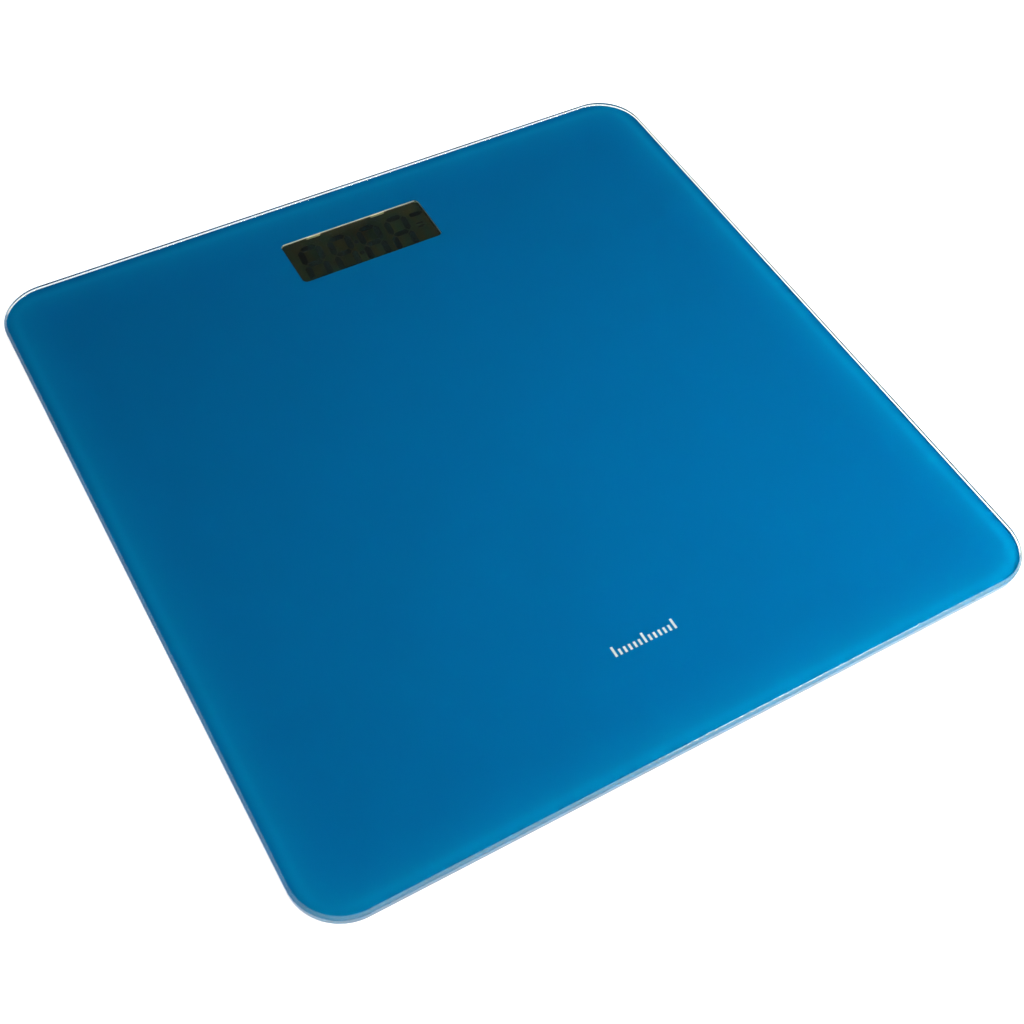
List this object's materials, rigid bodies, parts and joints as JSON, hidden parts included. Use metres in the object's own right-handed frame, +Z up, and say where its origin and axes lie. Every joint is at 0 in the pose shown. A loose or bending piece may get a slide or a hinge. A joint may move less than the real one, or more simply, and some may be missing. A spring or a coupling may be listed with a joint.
{
  "type": "glass-platform digital scale",
  "caption": "Square blue glass-platform digital scale with a display window near the far edge, a display housing under it and load-cell feet at the corners.",
  "frame": {"origin": "on the floor, under the middle of the glass plate", "axes": "+X to the user's right, +Y away from the user towards the display, +Z up"},
  "size_m": [0.28, 0.28, 0.02],
  "materials": {
    "clear_glass": "polished, clear, ground edges",
    "blue_film": "blue enamel seen through the glass",
    "white_abs": "fine spark-eroded texture",
    "pad_rubber": "soft matte",
    "cell_steel": "nickel-plated, stamped",
    "silicone": "soft semi-gloss",
    "lcd": "dark green-black polariser, glossy",
    "zebra_rubber": "layered conductive rubber",
    "board": "green solder mask",
    "epoxy": "black epoxy blob",
    "switch_plastic": "matte black",
    "button_plastic": "grey, satin",
    "coin_steel": "bright nickel steel",
    "contact_metal": "nickel-plated phosphor bronze",
    "screw_steel": "zinc-plated",
    "lead_pvc": "three thin PVC-covered wires, red, white and black"
  },
  "bodies": {
    "platform": {"glass_platform": "clear_glass", "colour_film": "blue_film", "housing_frame": "white_abs", "back_cover": "white_abs", "lcd_panel": "lcd", "zebra_connector": "zebra_rubber", "circuit_board": "board", "chip_blob": "epoxy", "unit_switch_body": "switch_plastic", "coin_cell": "coin_steel", "battery_contact_positive": "contact_metal", "battery_contact_negative": "contact_metal", "foot_base_front_left": "white_abs", "load_cell_front_left": "cell_steel", "gauge_seal_front_left": "silicone", "foot_retainer_front_left": "white_abs", "cell_lead_front_left": "lead_pvc", "foot_base_front_right": "white_abs", "load_cell_front_right": "cell_steel", "gauge_seal_front_right": "silicone", "foot_retainer_front_right": "white_abs", "cell_lead_front_right": "lead_pvc", "foot_base_back_left": "white_abs", "load_cell_back_left": "cell_steel", "gauge_seal_back_left": "silicone", "foot_retainer_back_left": "white_abs", "cell_lead_back_left": "lead_pvc", "foot_base_back_right": "white_abs", "load_cell_back_right": "cell_steel", "gauge_seal_back_right": "silicone", "foot_retainer_back_right": "white_abs", "cell_lead_back_right": "lead_pvc", "lead_clip_left_1": "white_abs", "lead_clip_left_2": "white_abs", "lead_clip_right_1": "white_abs", "lead_clip_right_2": "white_abs", "cover_screw_1": "screw_steel", "cover_screw_2": "screw_steel", "cover_screw_3": "screw_steel", "cover_screw_4": "screw_steel", "board_screw_1": "screw_steel", "board_screw_2": "screw_steel"},
    "foot_front_left": {"foot_cap_front_left": "white_abs", "foot_pad_front_left": "pad_rubber"},
    "foot_front_right": {"foot_cap_front_right": "white_abs", "foot_pad_front_right": "pad_rubber"},
    "foot_back_left": {"foot_cap_back_left": "white_abs", "foot_pad_back_left": "pad_rubber"},
    "foot_back_right": {"foot_cap_back_right": "white_abs", "foot_pad_back_right": "pad_rubber"},
    "battery_door": {"battery_door": "white_abs"},
    "unit_button": {"unit_button": "button_plastic"},
    "switch_plunger": {"unit_switch_plunger": "button_plastic"}
  },
  "joints": [
    {"name": "foot_front_left_travel", "type": "slide", "parent": "platform", "child": "foot_front_left", "axis": [0, 0, 1], "range_m": [-0.0004, 0.00025], "stiffness_N_per_m": 50000},
    {"name": "foot_front_right_travel", "type": "slide", "parent": "platform", "child": "foot_front_right", "axis": [0, 0, 1], "range_m": [-0.0004, 0.00025], "stiffness_N_per_m": 50000},
    {"name": "foot_back_left_travel", "type": "slide", "parent": "platform", "child": "foot_back_left", "axis": [0, 0, 1], "range_m": [-0.0004, 0.00025], "stiffness_N_per_m": 50000},
    {"name": "foot_back_right_travel", "type": "slide", "parent": "platform", "child": "foot_back_right", "axis": [0, 0, 1], "range_m": [-0.0004, 0.00025], "stiffness_N_per_m": 50000},
    {"name": "battery_door_hinge", "type": "hinge", "parent": "platform", "child": "battery_door", "pos_m": [0.038, 0.101, 0.0045], "axis": [0, 1, 0], "range_deg": [0, 80]},
    {"name": "unit_button_press", "type": "slide", "parent": "platform", "child": "unit_button", "axis": [0, 0, 1], "range_m": [0, 0.0006], "stiffness_N_per_m": 800},
    {"name": "switch_plunger_press", "type": "slide", "parent": "platform", "child": "switch_plunger", "axis": [0, 0, 1], "range_m": [0, 0.0003]}
  ],
  "couplings": [
    {"joint": "switch_plunger_press", "follows": "unit_button_press", "ratio": 0.5}
  ]
}
